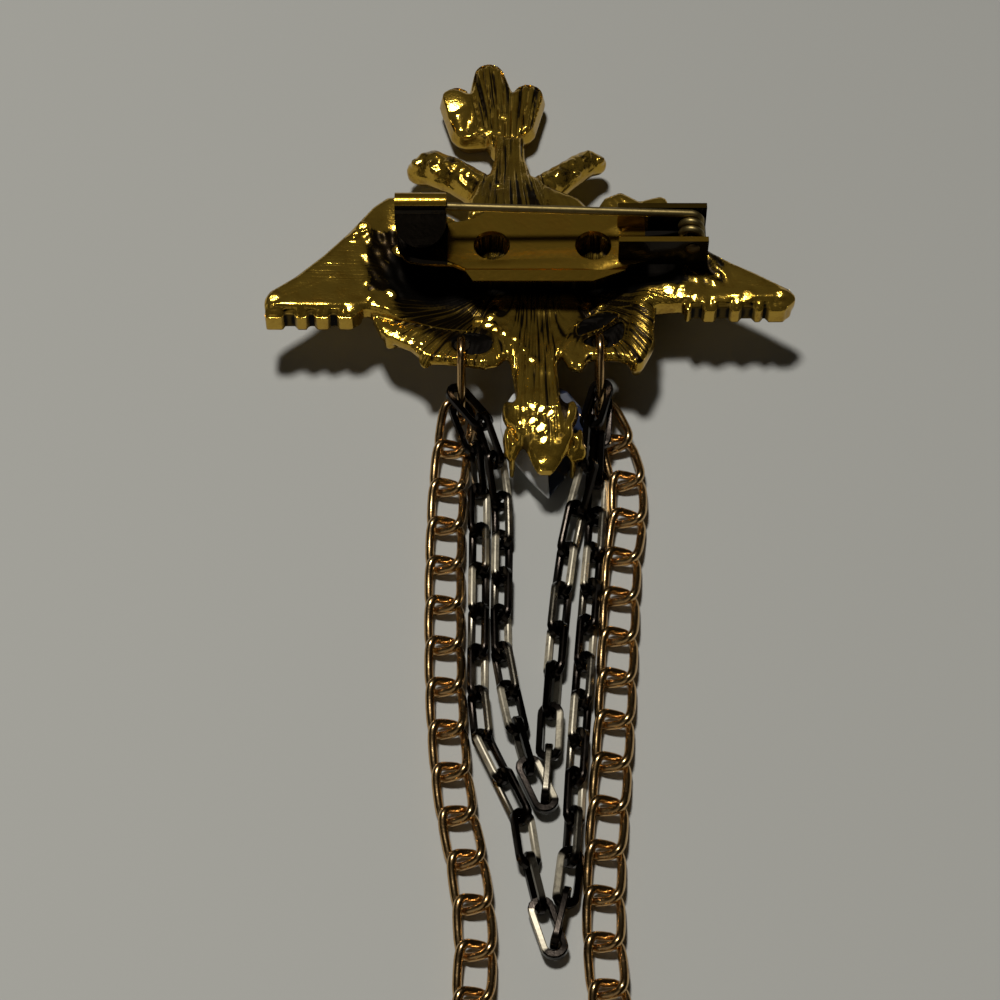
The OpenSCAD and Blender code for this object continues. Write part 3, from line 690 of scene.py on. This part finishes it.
def carveBack(points, normals):
    # low relief of the back: hollow, grooves, rounded rims, domed lobe and lumpy ground
    x, y, z = points.T
    up = rise(normals[:, 2], 0.2, 0.7)
    across, along, strong, cut, period = strandField(x, y)
    fromWall = wallDistance(points, normals)
    left, right, low, high = barPad
    pad = (x > left) & (x < right) & (y > low) & (y < high)
    inside = insideDistance(x, y, hollowEdge)
    deep = rise(inside, 0.1, 2.2) * ~pad * rise(-y, -32.5, -29.5)
    ground = relief["floor"] + relief["slope"] * rise(-inside, -6.5, -0.4)
    ground = np.where(y > 30, relief["upperFloor"], ground)
    lift = np.clip(ground - z, 0, 0.5) * deep * (z > 4.2) * (y < 22)
    sunk = np.minimum(ground - z, 0) * deep * np.where(y < 29, 0.98, up)
    sway = 0.06 * np.sin(along * 0.8 + across * 1.7) + 0.04 * np.sin(along * 1.9 - across)
    groove = (0.5 - 0.5 * np.cos((across / period + sway) * 2 * math.pi)) ** 2
    lift -= cut * groove
    rim = np.clip(1 - fromWall / relief["rimWidth"], 0, 1)
    soft = relief["rimSoft"] + relief["crownSoft"] * rise(y, 42, 47)
    lift -= soft * (1 - np.sqrt(1 - rim ** 2 * 0.98))
    dome = rise(-x, 5.4, 6.4) * rise(y, 45, 46.5)
    lift += dome * (0.3 - ((x + 7.8) ** 2 + (y - 49.5) ** 2) / 14)
    lumps = sum(zone(x, y, row) for row in lumpZones)
    heads = (y > 36) & (y < 43.5) & (np.abs(x - stemX) > 3.4)
    lift += (lumps + 0.7 * heads) * grain(x, y, relief["lumps"])
    tail = rise(-y, -9.5, -7.5) * rise(y, 2, 3)
    lift += tail * grain(x, y, relief["tailGrain"])
    lift += grain(x, y, relief["allGrain"])
    lift += wingDish(x, y)
    lift += np.interp(y, [3, 8, 12], [0, relief["tailRidge"], 0]) * (np.abs(x - 1.2) < 4.5)
    for middle in relief["holes"]:
        lift -= relief["holeDeep"] * rise(-np.hypot(x - middle, y - relief["holeY"]), -2.1, -1.7)
    moved = points.copy()
    moved[:, 2] += lift * up + sunk
    stem = (y > stemY) & (y < 37) & (np.abs(x - stemX) < 6)
    # darkening of the back: dark patina and painted shade in the hollow, painted shade in the lumpy bands
    # by the catch and the ear, darker heads and stem
    patinaAndShade = (0.9 - 0.72 * rise(-np.abs(x - fanX), -5, -3)) * deep * rise(y, 11, 14)
    patinaAndShadeParts = [patinaAndShade + 0.95 * lumps + 0.45 * heads, 0.3 * stem] + [zone(x, y, row) for row in darkerZones]
    # painted shadow in the cave under the bar's low edge
    start = 23 - 2.4 * rise(-x, 4, 7)
    blacks = [rise(y, start, start + 1.6) * rise(deep, 0.2, 0.6) * (y < 30)]
    blacks += [zone(x, y, row) for row in blackZones]
    blacks += [zone(x, y, blackUnderBar) * (z > 3)]
    # painted shade in the tail's hollows
    for hx, hy, radius in tailHollows:
        blacks.append(0.85 * rise(-np.hypot(x - hx, y - hy), -radius, -0.6 * radius))
    # painted shade inside the openings and on their lips
    for (cx, cy), (rx, ry), hole, height in lips:
        inside = 1 - np.hypot((x - cx) / rx, (y - cy) / ry)
        covered = rise(inside, 0.05, 0.16) * (z < height + 2 * lip["thick"])
        blacks.append(covered)
        strong = strong * (1 - covered)
    # the gaps between the feather ends: cut back, with painted shade in them
    for low, high, edge, gaps in featherRows:
        wall = rise(-y, -edge - 0.9, -edge - 0.45) * (x > low - 1) * (x < high + 1)
        for start, end in gaps:
            gap = between(x, start, end, ends["soft"]) * wall
            moved[:, 1] += ends["cut"] * gap
            blacks.append(ends["black"] * gap * rise(-z, -7.9, -7.3))
    patinaAndShade = np.clip(np.maximum.reduce(patinaAndShadeParts), 0, 1)
    black = np.maximum.reduce(blacks)
    return moved, across, along, np.clip(strong, 0, 1), patinaAndShade, black, up


feathers = {"row": 2.2, "wide": 2.4, "half": 0.52, "edge": 0.25, "deep": 0.22}


def carveFront(points, normals):
    # rows of plain round feathers on the front
    x, y, z = points.T
    down = rise(-normals[:, 2], 0.3, 0.8)
    row = y / feathers["row"]
    k = np.floor(row)
    u = (x / feathers["wide"] + 0.5 * (k % 2)) % 1.0 - 0.5
    scale = np.sqrt(np.clip(1 - (u / feathers["half"]) ** 2, 0, 1))
    edge = rise(row - k - feathers["edge"] * (1 - scale), 0, feathers["edge"])
    moved = points.copy()
    moved[:, 2] += feathers["deep"] * (1 - edge) * down
    return moved


def underSurroundings(mesh, points, normals):
    # how far a point lies under the points round it, from 0 to 1
    edges = np.zeros(len(mesh.edges) * 2, np.int32)
    mesh.edges.foreach_get("vertices", edges)
    edges = edges.reshape(-1, 2)
    first, second = edges[:, 0], edges[:, 1]
    count = np.bincount(edges.ravel(), minlength=len(points))
    value = points.copy()
    for _ in range(5):
        total = np.zeros_like(value)
        np.add.at(total, first, value[second])
        np.add.at(total, second, value[first])
        value = total / count[:, None]
    under = ((value - points) * normals).sum(1)
    return rise(under, 0.015, 0.11)


def makeCasting(material):
    bm = cadCopy("eagle_body")
    castingForms(bm)
    mesh = remeshed(bm)
    points, normals = vertexVectors(mesh, "co"), vertexVectors(mesh, "normal")
    points, across, along, strong, patinaAndShade, black, up = carveBack(points, normals)
    points = carveFront(points, normals)
    polished = pressFacets(points, up)
    points[:, 2] = np.maximum(points[:, 2], 0)
    putCoordinates(mesh, points)
    under = underSurroundings(mesh, points, vertexVectors(mesh, "normal"))
    plain = 1 - polished
    # recesses darkened: dark patina and painted shade
    patinaAndShade = np.clip(patinaAndShade * up + casting["recessPatinaAndShade"] * under, 0, 1)
    black = np.clip(black + casting["recessBlackAndShade"] * under, 0, 1)
    for name, values in (("across", across), ("along", along), ("strand", strong * up * plain),
                         ("patinaAndShade", patinaAndShade * plain), ("black", black * plain)):
        putAttribute(mesh, name, values)
    settle("eagleCasting", mesh, material, "eagle_body", casting["sharpAngle"])


stone = {
    "halfWidth": 4.15, "halfLength": 6.7, "centre": (1.3, 8), "turn": 3.4,
    "girdleLow": 1.8, "girdleHigh": 2.2, "edge": 0.1, "bottom": 0.95, "reflectionLean": -0.12, "thin": 0.35,
    "culetSteps": ((1.7, 1.25), (1.35, 0.75)),
    "tableSteps": ((0.9, 0.9), (0.7, 0.9)),
    "outline": [(0, -1.05), (0.42, -0.72), (0.74, -0.38), (0.92, -0.1), (1, 0.2), (0.93, 0.5), (0.66, 0.78),
                (0.3, 0.92)],
}


def makeStonePiece(material):
    bm = bmesh.new()
    half = [(a * stone["halfWidth"], b * stone["halfLength"]) for a, b in stone["outline"]]
    ring = half + [(0, stone["bottom"] * stone["halfLength"])] + [(-a, b) for a, b in half[:0:-1]]
    lower = bm.faces.new([bm.verts.new((a, b, stone["girdleLow"])) for a, b in ring])
    bm.normal_update()
    grown = bmesh.ops.extrude_face_region(bm, geom=[lower])
    top = [part for part in grown["geom"] if isinstance(part, bmesh.types.BMFace)][0]
    bmesh.ops.translate(bm, verts=top.verts, vec=(0, 0, stone["girdleHigh"] - stone["girdleLow"]))
    bm.normal_update()
    bmesh.ops.recalc_face_normals(bm, faces=bm.faces)
    # the pavilion in two steps, then the table side
    for face, steps in ((top, stone["culetSteps"]), (lower, stone["tableSteps"])):
        for thickness, depth in steps:
            bmesh.ops.inset_region(bm, faces=[face], thickness=thickness, depth=depth)
    bmesh.ops.transform(bm, verts=bm.verts, matrix=Matrix.Translation((*stone["centre"], 0))
                        @ Matrix.Rotation(math.radians(stone["turn"]), 4, "Z"))
    bmesh.ops.recalc_face_normals(bm, faces=bm.faces)
    chamfer(bm, bm.edges[:], stone["edge"])
    bmesh.ops.triangulate(bm, faces=[face for face in bm.faces if len(face.verts) > 4])
    bm.normal_update()
    # painted reflection: pale on the facets that lean left, and along every cut edge
    layer = bm.faces.layers.float.new("paleReflection")
    for face in bm.faces:
        thin = face.calc_area() < stone["thin"] * face.calc_perimeter() * stone["edge"] * 2
        face[layer] = 1.0 if face.normal.x < stone["reflectionLean"] or thin else 0.0
    settle("dropStone", meshFrom(bm), material, "tail_crystal")


bar = {
    "edge": 0.07, "steps": 2, "edgeAngle": 35, "sharpAngle": 20, "top": 9,
    "bendFrom": 5, "bendTo": 6.5, "bendLine": 24.15, "bendSlope": 0.19,
    "rimEnd": -6.4, "rimWidth": 0.3,
    "blackEnd": -8.1, "darkFrom": 11.7, "earFrom": 8.6, "earMiddle": 27, "earHigh": 11.8,
    "tongueEnd": -7.5, "tongueTop": 14.2, "broad": 0.05, "dim": 0.7,
}


def shapeLowEdge(bm):
    # the plate's low edge is bent down a little near the hinge, and broken under the catch
    for vert in bm.verts:
        if abs(vert.co.z - bar["top"]) < 0.05 and vert.co.y < bar["bendLine"]:
            taper = min(max((vert.co.x - bar["bendFrom"]) / (bar["bendTo"] - bar["bendFrom"]), 0), 1)
            vert.co.z -= bar["bendSlope"] * taper * (bar["bendLine"] - vert.co.y)
    rim = []
    for edge in bm.edges:
        if len(edge.link_faces) == 2 and min(vert.co.z for vert in edge.verts) > bar["top"] - 0.1:
            low, high = sorted(edge.link_faces, key=lambda face: face.normal.z)
            outer = abs(low.normal.z) < 0.1 and low.normal.y < -0.1 and high.normal.z > 0.9
            if outer and max(vert.co.x for vert in edge.verts) < bar["rimEnd"]:
                rim.append(edge)
    chamfer(bm, rim, bar["rimWidth"])


def shadeOf(face):
    # painted shade and dark reflection: black on the plate's ends, the ears' sides and the catch's tongue;
    # dim on ear tops and below
    x, y, z = face.center
    lean = face.normal
    broad = face.area > bar["broad"]
    atEar = x > bar["earFrom"]
    plate = (x < bar["blackEnd"] or x > bar["darkFrom"]) and z < bar["top"] + 0.2 and lean.z > 0.7
    ear = atEar and y < bar["earMiddle"] and lean.y < -0.8 and broad
    inside = x > bar["darkFrom"] and y > bar["earMiddle"] and lean.y < -0.8
    tongue = x < bar["tongueEnd"] and bar["top"] - 0.1 < z < bar["tongueTop"] and lean.y < -0.2 and broad
    if plate or ear or inside or tongue:
        return 1.0
    high = atEar and y > bar["earMiddle"] and z > bar["earHigh"]
    dim = (atEar and lean.y > 0.8 and broad) or high or lean.z < -0.5
    return bar["dim"] if dim else 0.0


def makeBar(material):
    bm = cadCopy("pin_bar")
    bmesh.ops.dissolve_limit(bm, angle_limit=math.radians(1), verts=bm.verts, edges=bm.edges)
    xAxis, yAxis = Vector((1, 0, 0)), Vector((0, 1, 0))
    for axis, name in ((xAxis, "blackEnd"), (xAxis, "bendFrom"), (xAxis, "bendTo"),
                       (yAxis, "bendLine"), (xAxis, "darkFrom")):
        bmesh.ops.bisect_plane(bm, geom=bm.verts[:] + bm.edges[:] + bm.faces[:],
                               plane_co=axis * bar[name], plane_no=axis)
    bm.normal_update()
    shapeLowEdge(bm)
    rough = addObject("rough", meshFrom(bm))
    edge = rough.modifiers.new("worn edges", "BEVEL")
    edge.width = bar["edge"]
    edge.segments = bar["steps"]
    edge.limit_method = "ANGLE"
    edge.angle_limit = math.radians(bar["edgeAngle"])
    mesh = evaluated(rough)
    layer = mesh.attributes.new("patinaAndShade", "FLOAT", "FACE")
    layer.data.foreach_set("value", [shadeOf(face) for face in mesh.polygons])
    settle("barPlate", mesh, material, "pin_bar", bar["sharpAngle"])


rivet = {
    "x": 15.85, "z": 10.9, "low": 24.25, "high": 29.15,
    "shank": 0.45, "head": 0.75, "dome": 0.3, "steps": 4,
}


def makeRivet(material):
    bm = bmesh.new()
    low, high, head, dome = (rivet[key] for key in ("low", "high", "head", "dome"))
    quarter = [math.radians(90 * k / rivet["steps"]) for k in range(rivet["steps"] + 1)]
    profile = [(0, low - dome)] + [(head * math.sin(a), low - dome * math.cos(a)) for a in quarter[1:]]
    profile += [(rivet["shank"], low), (rivet["shank"], high)]
    profile += [(head * math.cos(a), high + dome * math.sin(a)) for a in quarter]
    points = [bm.verts.new((rivet["x"] + r, y, rivet["z"])) for r, y in profile]
    lines = [bm.edges.new(pair) for pair in zip(points, points[1:])]
    bmesh.ops.spin(bm, geom=points + lines, cent=(rivet["x"], 0, rivet["z"]), axis=(0, 1, 0),
                   angle=2 * math.pi, steps=24, use_merge=True)
    bmesh.ops.remove_doubles(bm, verts=bm.verts, dist=0.001)
    bmesh.ops.recalc_face_normals(bm, faces=bm.faces)
    settle("hingeRivet", meshFrom(bm), material, "pin_rivet", 40)


def polyCurve(kind, line, closed):
    # a curve of straight pieces through the points of a line
    curve = bpy.data.curves.new("line", "CURVE")
    curve.dimensions = kind
    spline = curve.splines.new("POLY")
    spline.points.add(len(line) - 1)
    for k, point in enumerate(line):
        spline.points[k].co = (*point, 1)
    spline.use_cyclic_u = closed
    return curve


def wireMesh(line, radius, closed, sides, radii=None, section=None):
    # a wire along a line of points, round unless it is given a section
    curve = polyCurve("3D", line, closed)
    if section is None:
        curve.bevel_depth = radius
        curve.bevel_resolution = sides
    else:
        curve.bevel_mode = "OBJECT"
        curve.bevel_object = section
    curve.use_fill_caps = True
    if radii:
        curve.splines[0].points.foreach_set("radius", radii)
    bm = bmesh.new()
    bm.from_mesh(evaluated(addObject("wire", curve)))
    bmesh.ops.remove_doubles(bm, verts=bm.verts, dist=0.0005)
    bmesh.ops.recalc_face_normals(bm, faces=bm.faces)
    return meshFrom(bm)


pin = {
    "hinge": (15.85, 10.9), "coil": 0.92, "first": 25.42, "last": 27.88, "turns": 3, "coilSteps": 28,
    "startAngle": -110, "openAngle": 200, "heel": ((-1.9, -1), (-1.2, -1.05)),
    "wire": 0.4, "length": 26.6, "shaftSteps": 24, "rise": 2.7,
    "point": 2.2, "pointSteps": (0.25, 0.5, 0.75, 0.93, 1), "pointTaper": 0.9, "pointLeast": 0.06,
}


def makePin(material):
    # the heel, the coil on the rivet, the straight shaft and its point
    cx, cz = pin["hinge"]
    line = [(cx + x, pin["first"], cz + z) for x, z in pin["heel"]]
    steps = pin["turns"] * pin["coilSteps"]
    sweep = pin["openAngle"] + 360 * (pin["turns"] - 1)
    for k in range(steps + 1):
        a = math.radians(pin["startAngle"] + sweep * k / steps)
        y = pin["first"] + (pin["last"] - pin["first"]) * k / steps
        line.append((cx + pin["coil"] * math.cos(a), y, cz + pin["coil"] * math.sin(a)))
    tilt = math.radians(pin["rise"])
    reach = [pin["length"] * k / pin["shaftSteps"] for k in range(1, pin["shaftSteps"] + 1)]
    reach += [pin["length"] + pin["point"] * share for share in pin["pointSteps"]]
    for s in reach:
        line.append((cx - s * math.cos(tilt), pin["last"], cz + pin["coil"] + s * math.sin(tilt)))
    radii = [1] * (len(line) - len(pin["pointSteps"]))
    radii += [max(pin["pointLeast"], 1 - share * pin["pointTaper"]) for share in pin["pointSteps"]]
    mesh = wireMesh(line, pin["wire"], False, 4, radii)
    settle("pinWire", mesh, material, "pin_stem", 40, "pin")


chains = {
    "curbW": 3.7, "curbWire": 0.7, "curbHalf": 2.75, "curbLift": 0.58, "curbShown": 0.84, "squareness": 0.6,
    "cableW": 2.35, "cableWire": 0.55, "cableHalf": 2.64, "cableShown": 0.56, "cableCorner": 0.09,
    "goldLinks": 34, "steps": 36, "endSwell": 0.3, "swellAlong": (1.5, 2.4),
    # where along a link and along the chain the painted highlight lies, and how much of it every second
    # link gets
    "sheenReach": (-2, -1.75), "sheenFrom": (-6.5, -3), "lessSheen": 0.25,
}
# height of a link's middle: lying, and more or less on edge
curbZ = chains["curbLift"] + chains["curbWire"] / 2
cableHalf = (chains["cableW"] - chains["cableWire"]) / 2
cableZ = cableHalf * math.sin(math.radians(45)) + chains["cableWire"] / 2 + 0.02
steepZ = 1.1
foldZ = chains["cableW"] / 2 + 0.03

goldRoute = [
    (-6.95, 11.5, 1.85), (-7.7, 6.5, 0.95), (-8, 1.5), (-8.15, -5.3), (-8.1, -13), (-7.9, -20.4),
    (-7.1, -30), (-5.6, -38), (-5.1, -43.5), (-5, -47.5), (-5.4, -51.2), (-5, -54.7), (-2.8, -57.6),
    (0.7, -58.7), (4.2, -57.6), (6.4, -54.7), (6.8, -51.2), (6.2, -47.5), (6.1, -43), (6.3, -37),
    (6.8, -31), (7.4, -24), (8, -15), (8.6, -5.3), (9.4, 0.5), (9.25, 4.6, 0.93), (8.38, 8, 1.1),
    (6.78, 12, 1.8),
]
longDown = [
    (-6.87, 10.8, 3), (-5.2, 6.3, 1.9), (-4.95, 2.2, 1), (-4.95, -9.6), (-5, -19.3), (-4.6, -24),
    (-3.4, -27), (-1.8, -30), (-0.7, -33.5, steepZ), (-0.2, -38.4, foldZ), (0.6, -41.1, foldZ),
    (1.9, -45.2, foldZ),
]
longUp = [
    (1.9, -44.1, foldZ), (2.8, -40.3, foldZ), (3.3, -36.5, steepZ), (3.65, -32, steepZ), (3.9, -28),
    (4.25, -23.5), (4.8, -17), (5.5, -9), (6.1, -2.5), (6.4, 2.6, 1.25), (6.65, 7, 2.55),
    (6.85, 11.3, 3.15),
]
shortDown = [
    (-7.15, 11.6, 4.5), (-4.35, 7.9, 4.05), (-3.2, 3.9, 2.9), (-2.75, -0.3, 1.2), (-2.8, -8),
    (-2.85, -14.5), (-2.2, -19), (-1.4, -23.2, foldZ), (-0.5, -27, foldZ), (1.2, -31, foldZ),
]
shortUp = [
    (1.1, -30.3, foldZ), (1.45, -26.1, foldZ), (1.7, -21.7, steepZ), (2.1, -16.5, steepZ), (2.6, -11),
    (3.2, -6, 1), (4, -1.2, 1.5), (5.4, 3.2, 3.05), (5.75, 7.6, 4.45), (6.95, 12.25, 4.5),
]


def smoothPath(route, lying, steps=8):
    # an even curve through a route's points, at the lying height where none is given
    points = [Vector((*p, lying)[:3]) for p in route]
    result = []
    for i in range(len(points) - 1):
        a, b, c, d = points[max(i - 1, 0)], points[i], points[i + 1], points[min(i + 2, len(points) - 1)]
        for k in range(steps):
            t = k / steps
            result.append((2 * b + (c - a) * t + (2 * a - 5 * b + 4 * c - d) * t * t
                           + (3 * b - a - 3 * c + d) * t * t * t) / 2)
    result.append(points[-1])
    return result


def handOvers(route, lying, count):
    # the points where one link hands over to the next
    path = smoothPath(route, lying)
    run = np.cumsum([0] + [(b - a).length for a, b in zip(path, path[1:])])
    stops = np.linspace(0, run[-1], count + 1)
    return [Vector(p) for p in zip(*(np.interp(stops, run, axis) for axis in zip(*path)))]


def curbLine():
    # a wide-ended curb link: the ends are nearly straight, the corners turn up and down
    points = []
    a, b = (chains["curbW"] - chains["curbWire"]) / 2, chains["curbHalf"]
    for i in range(chains["steps"]):
        t = 2 * math.pi * i / chains["steps"]
        s, c = math.sin(t), math.cos(t)
        points.append((math.copysign(a * abs(s) ** chains["squareness"], s),
                       math.copysign(b * abs(c) ** chains["squareness"], c),
                       chains["curbLift"] * math.sin(2 * t)))
    return points


def oval(r, reach, steps):
    # two half rounds, one at each end of a straight stretch
    points = []
    for end in (1, -1):
        for k in range(steps):
            a = math.radians(-90 + 180 * k / (steps - 1))
            points.append((end * r * math.sin(a), end * (reach + r * math.cos(a)), 0))
    return points


def flatSection(half, corner):
    # a square section with cut corners, for wire that was filed flat
    inner = half - corner
    outline = [(half, -inner, 0), (half, inner, 0)]
    for _ in range(3):
        outline += [(-b, a, 0) for a, b, _ in outline[-2:]]
    return addObject("flatSection", polyCurve("2D", outline, True))


def frameOf(start, end, roll):
    # where a link lies: across, along and over it, and its middle
    along = (end - start).normalized()
    flat = Vector((0, 0, 1)).cross(along).normalized()
    up = along.cross(flat)
    angle = math.radians(roll)
    across = flat * math.cos(angle) + up * math.sin(angle)
    over = up * math.cos(angle) - flat * math.sin(angle)
    turn = Matrix((across, along, over)).transposed().to_4x4()
    return Matrix.Translation((start + end) / 2) @ turn


def laidLinks(linkMesh, frames):
    # copies of one link, each in its place
    bm = bmesh.new()
    for matrix in frames:
        before = len(bm.verts)
        bm.from_mesh(linkMesh)
        bm.verts.ensure_lookup_table()
        bmesh.ops.transform(bm, matrix=matrix, verts=bm.verts[before:])
    mesh = meshFrom(bm)
    points = vertexVectors(mesh, "co")
    points[:, 2] = np.maximum(points[:, 2], 0.01)
    putCoordinates(mesh, points)
    return mesh


def makeGoldChain(name, node, first, last, material):
    stops = handOvers(goldRoute, curbZ, chains["goldLinks"])
    linkMesh = wireMesh(curbLine(), chains["curbShown"] / 2, True, 4)
    mesh = laidLinks(linkMesh, [frameOf(stops[k], stops[k + 1], 0) for k in range(first, last + 1)])
    settle(name, mesh, material, node, 60)


def cableFrames(route, count, firstRoll, firstTurn, lastTurn):
    # every link a quarter turn from the last, with a little more turn near both ends
    stops = handOvers(route, cableZ, count)
    frames = []
    for k in range(count):
        turn = firstTurn * max(0, 1 - k / 3) + lastTurn * max(0, 1 - (count - 1 - k) / 3)
        frames.append(frameOf(stops[k], stops[k + 1], firstRoll + 90 * k + turn))
    return frames


def makeBlackChain(name, node, down, up, links, turns, material):
    line = oval(cableHalf, chains["cableHalf"] - cableHalf, 9)
    radii = [float(1 + chains["endSwell"] * rise(abs(y), *chains["swellAlong"])) for x, y, z in line]
    section = flatSection(chains["cableShown"] / 2, chains["cableCorner"])
    linkMesh = wireMesh(line, 1, True, 1, radii, section)
    bpy.data.objects.remove(section)
    inLink = vertexVectors(linkMesh, "co")
    frames = cableFrames(down, links[0], -45, turns[0], turns[1])
    frames += cableFrames(up, links[1], math.copysign(45, turns[2]), turns[2], turns[3])
    mesh = laidLinks(linkMesh, frames)
    # painted highlight: one long side of every second link is pale, the rest stays black
    paintedSheen = []
    for k, matrix in enumerate(frames):
        side = -1 if k < links[0] else 1
        bright = chains["lessSheen"] if k % 2 else 1.0
        bright *= rise(-matrix.translation.y, *chains["sheenFrom"])
        long = rise(-np.abs(inLink[:, 1]), *chains["sheenReach"]) * (side * inLink[:, 0] > 0.5)
        paintedSheen.append(bright * long)
    putAttribute(mesh, "paintedSheen", np.concatenate(paintedSheen))
    settle(name, mesh, material, node, 30)


rings = {
    "wire": 0.8, "width": 4.6, "steps": 15,
    "leftRing": (-6.7, (14.5, 6.1), (11.9, 2.38)),
    "rightRing": (6.75, (15, 6.1), (12.4, 2.38)),
}


def makeRing(name, node, material):
    # an oval link that stands on edge in one upright plane
    x, top, low = rings[name]
    top, low = Vector(top), Vector(low)
    middle, half = (top + low) / 2, (low - top) / 2
    down = half.normalized()
    out = Vector((-down.y, down.x))
    line = []
    for across, along, _ in oval((rings["width"] - rings["wire"]) / 2, half.length, rings["steps"]):
        line.append((x, *(middle - down * along - out * across)))
    mesh = wireMesh(line, rings["wire"] / 2, True, 4)
    settle(name, mesh, material, node, 60)


makeCamera()
makeLights()
makeTable(makeTableMaterial())
print("camera, light and table are set")

antiqueGilt = makeAntiqueGilt()
barBrass, darkBrass, stemMetal, roseGilt, blackPlate = (makeMetal(name) for name in metals)
foiledStone = makeStone()
print("materials are made")

makeCasting(antiqueGilt)
makeStonePiece(foiledStone)
makeBar(barBrass)
makeRivet(darkBrass)
makePin(stemMetal)
makeRing("leftRing", "left_ring", roseGilt)
makeRing("rightRing", "right_ring", roseGilt)
makeGoldChain("goldChainLeft", "gold_chain_left", 0, 16, roseGilt)
makeGoldChain("goldChainRight", "gold_chain_right", 17, 33, roseGilt)
makeBlackChain("blackChainShort", "black_chain_short", shortDown, shortUp,
               (11, 10), (30, 45, 45, 30), blackPlate)
makeBlackChain("blackChainLong", "black_chain_long", longDown, longUp,
               (13, 14), (30, 45, -45, -50), blackPlate)
